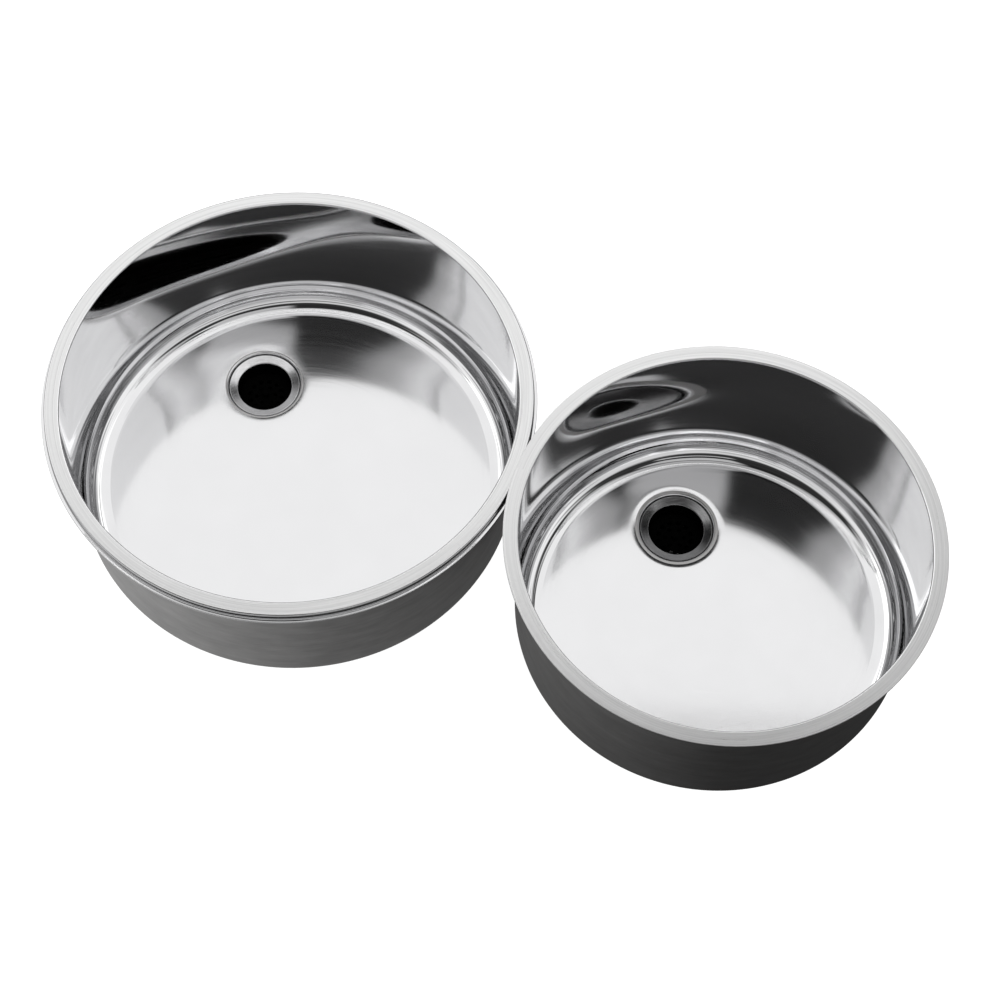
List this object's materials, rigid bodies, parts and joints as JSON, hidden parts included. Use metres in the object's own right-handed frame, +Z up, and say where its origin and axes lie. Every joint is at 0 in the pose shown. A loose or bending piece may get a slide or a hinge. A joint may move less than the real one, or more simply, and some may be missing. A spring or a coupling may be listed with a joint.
{
  "type": "kitchen sink bowl pair",
  "caption": "Pair of round deep-drawn steel sink bowls with flat rims, off-centre drains, rim seals, clamped wastes, lift-out strainers and straight outlet spigots.",
  "frame": {"origin": "on the large bowl's axis, in the plane of the worktop that the large rim's lip and seal rest on", "axes": "+Z up out of the bowls, +X from the large bowl's axis to the small bowl's axis, +Y to the side on which the drains lie"},
  "size_m": [0.8022, 0.4318, 0.2465],
  "materials": {
    "bowl_steel": "polished inside, satin rim and outside",
    "trim_steel": "polished",
    "waste_plastic": "matt black",
    "nut_plastic": "matt black",
    "strainer_plastic": "matt black",
    "slip_plastic": "matt off-white",
    "seal_rubber": "matt",
    "seal_foam": "matt foam",
    "damping_pad": "matt, faintly grained"
  },
  "bodies": {
    "large_sink": {"large_bowl": "bowl_steel", "large_rim_seal": "seal_foam", "large_sound_pad": "damping_pad", "large_trim_ring": "trim_steel", "large_waste_body": "waste_plastic", "large_flange_seal": "seal_rubber", "large_clamp_washer": "seal_rubber", "large_slip_washer": "slip_plastic", "large_back_nut": "nut_plastic", "large_outlet_seal": "seal_rubber", "large_outlet_tail": "waste_plastic", "large_union_nut": "nut_plastic"},
    "large_basket": {"large_strainer": "strainer_plastic"},
    "small_sink": {"small_bowl": "bowl_steel", "small_rim_seal": "seal_foam", "small_sound_pad": "damping_pad", "small_trim_ring": "trim_steel", "small_waste_body": "waste_plastic", "small_flange_seal": "seal_rubber", "small_clamp_washer": "seal_rubber", "small_slip_washer": "slip_plastic", "small_back_nut": "nut_plastic", "small_outlet_seal": "seal_rubber", "small_outlet_tail": "waste_plastic", "small_union_nut": "nut_plastic"},
    "small_basket": {"small_strainer": "strainer_plastic"}
  },
  "joints": [
    {"name": "large_strainer_lift", "type": "slide", "parent": "large_sink", "child": "large_basket", "axis": [0, 0, 1], "range_m": [0, 0.19]},
    {"name": "small_sink_lift", "type": "slide", "parent": "large_sink", "child": "small_sink", "axis": [0, 0, 1], "range_m": [0, 0.25]},
    {"name": "small_strainer_lift", "type": "slide", "parent": "small_sink", "child": "small_basket", "axis": [0, 0, 1], "range_m": [0, 0.19]}
  ]
}
